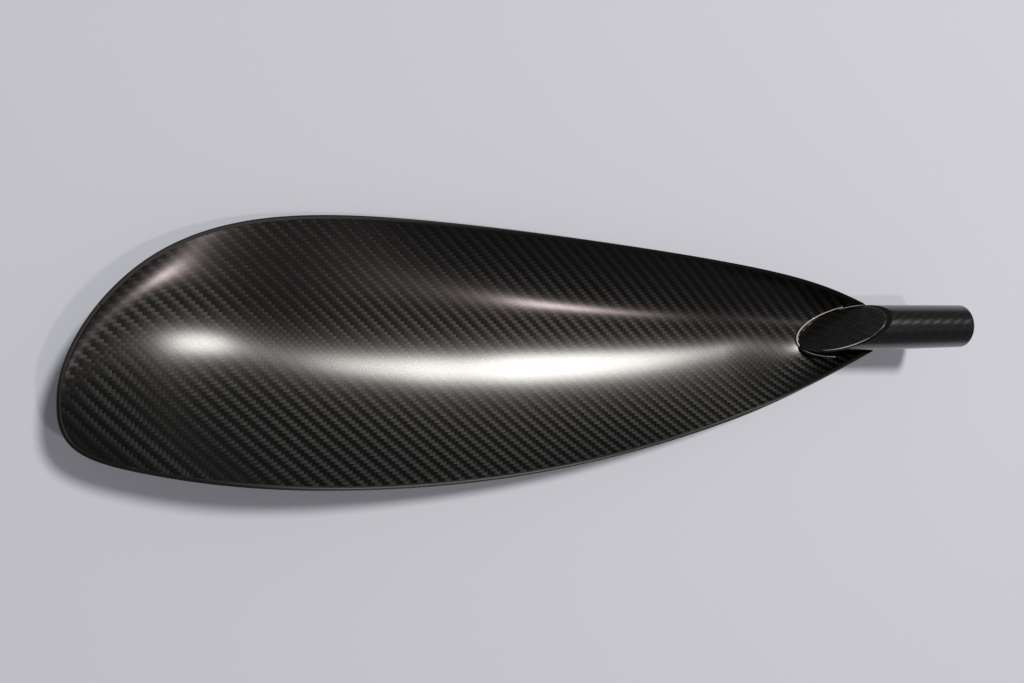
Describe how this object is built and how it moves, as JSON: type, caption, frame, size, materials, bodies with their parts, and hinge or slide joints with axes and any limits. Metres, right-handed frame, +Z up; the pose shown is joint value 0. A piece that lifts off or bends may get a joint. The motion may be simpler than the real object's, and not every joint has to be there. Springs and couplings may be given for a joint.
{
  "type": "wing kayak paddle blade",
  "caption": "Spooned carbon wing blade with a curled leading edge and a round stub tube for a paddle shaft, lying on its back.",
  "frame": {"origin": "on the surface that the blade lies on, under the middle of its box", "axes": "+X along the blade from the tip towards the stub tube's end, +Y towards the trailing edge, +Z up, out of the power face. The tube's own axis rises 6.1 degrees from +X, because the blade lies on its rounded back."},
  "size_m": [0.566, 0.1554, 0.056],
  "materials": {
    "clear_coated_carbon": "two by two twill carbon cloth in epoxy under a polished clear coat",
    "satin_carbon": "sanded satin carbon tube",
    "edge_roving": "resin rich carbon roving",
    "clear_resin": "glossy clear epoxy",
    "spine_foam": "dense structural foam",
    "white_foam": "light closed cell foam",
    "cork": "pressed cork"
  },
  "bodies": {
    "root": {"power_face_skin": "clear_coated_carbon", "back_face_skin": "clear_coated_carbon", "neck_patch": "clear_coated_carbon", "stub_tube": "satin_carbon", "leading_edge_roving": "edge_roving", "trailing_edge_roving": "edge_roving", "tip_edge_roving": "edge_roving", "neck_bead": "clear_resin", "spine_core": "spine_foam", "leading_core": "white_foam", "trailing_core": "white_foam", "neck_core": "white_foam", "stub_plug": "cork"}
  },
  "joints": []
}
